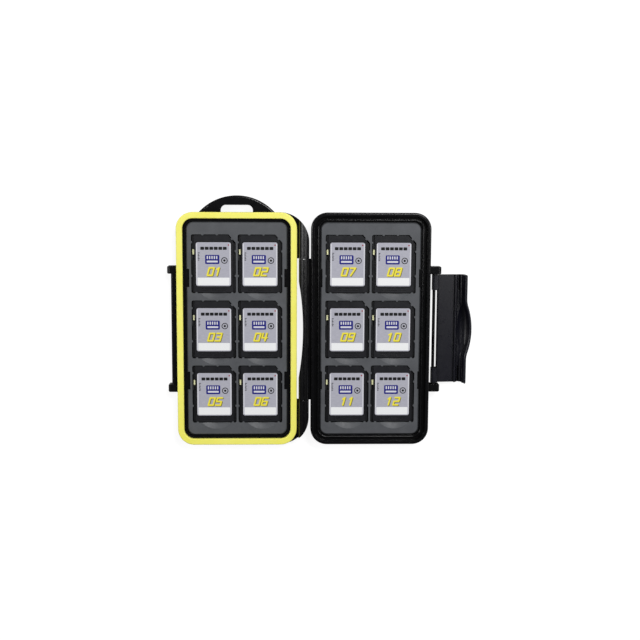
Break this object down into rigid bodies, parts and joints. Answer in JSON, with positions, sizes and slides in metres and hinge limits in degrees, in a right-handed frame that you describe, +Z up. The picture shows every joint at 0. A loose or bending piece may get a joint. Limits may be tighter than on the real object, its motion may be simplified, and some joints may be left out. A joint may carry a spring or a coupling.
{
  "type": "memory card case",
  "caption": "Hard hinged case lying open, with a soft sealing rim, soft trays whose fitted pockets hold memory cards, a snap latch and a carrying loop.",
  "frame": {"origin": "middle of the bounding box in plan, on the table that the open case lies on", "axes": "+X from the lid half across the hinge to the base half and its latch, +Y along the hinge towards the carrying loop, +Z up, out of the open trays"},
  "size_m": [0.171, 0.1404, 0.0137],
  "materials": {
    "case_black": "satin",
    "latch_black": "gloss",
    "seal_yellow": "matte",
    "tray_grey": "matte",
    "pin_steel": "satin",
    "card_plastic": "satin",
    "label_silver": "semi-gloss",
    "switch_yellow": "matte"
  },
  "bodies": {
    "base": {"base_shell": "case_black", "base_tray": "tray_grey"},
    "lid": {"lid_shell": "case_black", "lid_seal": "seal_yellow", "lid_tray": "tray_grey", "hinge_pin_upper": "pin_steel", "hinge_pin_lower": "pin_steel"},
    "latch_flap": {"latch": "latch_black"},
    "card_01": {"memory_card_01": "card_plastic", "card_label_01": "label_silver"},
    "lock_01": {"lock_switch_01": "switch_yellow"},
    "card_02": {"memory_card_02": "card_plastic", "card_label_02": "label_silver"},
    "lock_02": {"lock_switch_02": "switch_yellow"},
    "card_03": {"memory_card_03": "card_plastic", "card_label_03": "label_silver"},
    "lock_03": {"lock_switch_03": "switch_yellow"},
    "card_04": {"memory_card_04": "card_plastic", "card_label_04": "label_silver"},
    "lock_04": {"lock_switch_04": "switch_yellow"},
    "card_05": {"memory_card_05": "card_plastic", "card_label_05": "label_silver"},
    "lock_05": {"lock_switch_05": "switch_yellow"},
    "card_06": {"memory_card_06": "card_plastic", "card_label_06": "label_silver"},
    "lock_06": {"lock_switch_06": "switch_yellow"},
    "card_07": {"memory_card_07": "card_plastic", "card_label_07": "label_silver"},
    "lock_07": {"lock_switch_07": "switch_yellow"},
    "card_08": {"memory_card_08": "card_plastic", "card_label_08": "label_silver"},
    "lock_08": {"lock_switch_08": "switch_yellow"},
    "card_09": {"memory_card_09": "card_plastic", "card_label_09": "label_silver"},
    "lock_09": {"lock_switch_09": "switch_yellow"},
    "card_10": {"memory_card_10": "card_plastic", "card_label_10": "label_silver"},
    "lock_10": {"lock_switch_10": "switch_yellow"},
    "card_11": {"memory_card_11": "card_plastic", "card_label_11": "label_silver"},
    "lock_11": {"lock_switch_11": "switch_yellow"},
    "card_12": {"memory_card_12": "card_plastic", "card_label_12": "label_silver"},
    "lock_12": {"lock_switch_12": "switch_yellow"}
  },
  "joints": [
    {"name": "lid_hinge", "type": "hinge", "parent": "base", "child": "lid", "pos_m": [-0.00924, -0.0046, 0.0108], "axis": [0, 1, 0], "range_deg": [0, 180]},
    {"name": "latch_hinge", "type": "hinge", "parent": "base", "child": "latch_flap", "pos_m": [0.06426, -0.0046, 0.0052], "axis": [0, -1, 0], "range_deg": [0, 95.72]},
    {"name": "card_lift_01", "type": "slide", "parent": "lid", "child": "card_01", "axis": [0, 0, -1], "range_m": [-0.008, 0]},
    {"name": "card_lift_02", "type": "slide", "parent": "lid", "child": "card_02", "axis": [0, 0, -1], "range_m": [-0.008, 0]},
    {"name": "card_lift_03", "type": "slide", "parent": "lid", "child": "card_03", "axis": [0, 0, -1], "range_m": [-0.008, 0]},
    {"name": "card_lift_04", "type": "slide", "parent": "lid", "child": "card_04", "axis": [0, 0, -1], "range_m": [-0.008, 0]},
    {"name": "card_lift_05", "type": "slide", "parent": "lid", "child": "card_05", "axis": [0, 0, -1], "range_m": [-0.008, 0]},
    {"name": "card_lift_06", "type": "slide", "parent": "lid", "child": "card_06", "axis": [0, 0, -1], "range_m": [-0.008, 0]},
    {"name": "card_lift_07", "type": "slide", "parent": "base", "child": "card_07", "axis": [0, 0, -1], "range_m": [-0.008, 0]},
    {"name": "card_lift_08", "type": "slide", "parent": "base", "child": "card_08", "axis": [0, 0, -1], "range_m": [-0.008, 0]},
    {"name": "card_lift_09", "type": "slide", "parent": "base", "child": "card_09", "axis": [0, 0, -1], "range_m": [-0.008, 0]},
    {"name": "card_lift_10", "type": "slide", "parent": "base", "child": "card_10", "axis": [0, 0, -1], "range_m": [-0.008, 0]},
    {"name": "card_lift_11", "type": "slide", "parent": "base", "child": "card_11", "axis": [0, 0, -1], "range_m": [-0.008, 0]},
    {"name": "card_lift_12", "type": "slide", "parent": "base", "child": "card_12", "axis": [0, 0, -1], "range_m": [-0.008, 0]},
    {"name": "lock_switch_slide_01", "type": "slide", "parent": "card_01", "child": "lock_01", "axis": [0, -1, 0], "range_m": [0, 0.0028]},
    {"name": "lock_switch_slide_02", "type": "slide", "parent": "card_02", "child": "lock_02", "axis": [0, -1, 0], "range_m": [0, 0.0028]},
    {"name": "lock_switch_slide_03", "type": "slide", "parent": "card_03", "child": "lock_03", "axis": [0, -1, 0], "range_m": [0, 0.0028]},
    {"name": "lock_switch_slide_04", "type": "slide", "parent": "card_04", "child": "lock_04", "axis": [0, -1, 0], "range_m": [0, 0.0028]},
    {"name": "lock_switch_slide_05", "type": "slide", "parent": "card_05", "child": "lock_05", "axis": [0, -1, 0], "range_m": [0, 0.0028]},
    {"name": "lock_switch_slide_06", "type": "slide", "parent": "card_06", "child": "lock_06", "axis": [0, -1, 0], "range_m": [0, 0.0028]},
    {"name": "lock_switch_slide_07", "type": "slide", "parent": "card_07", "child": "lock_07", "axis": [0, -1, 0], "range_m": [0, 0.0028]},
    {"name": "lock_switch_slide_08", "type": "slide", "parent": "card_08", "child": "lock_08", "axis": [0, -1, 0], "range_m": [0, 0.0028]},
    {"name": "lock_switch_slide_09", "type": "slide", "parent": "card_09", "child": "lock_09", "axis": [0, -1, 0], "range_m": [0, 0.0028]},
    {"name": "lock_switch_slide_10", "type": "slide", "parent": "card_10", "child": "lock_10", "axis": [0, -1, 0], "range_m": [0, 0.0028]},
    {"name": "lock_switch_slide_11", "type": "slide", "parent": "card_11", "child": "lock_11", "axis": [0, -1, 0], "range_m": [0, 0.0028]},
    {"name": "lock_switch_slide_12", "type": "slide", "parent": "card_12", "child": "lock_12", "axis": [0, -1, 0], "range_m": [0, 0.0028]}
  ]
}
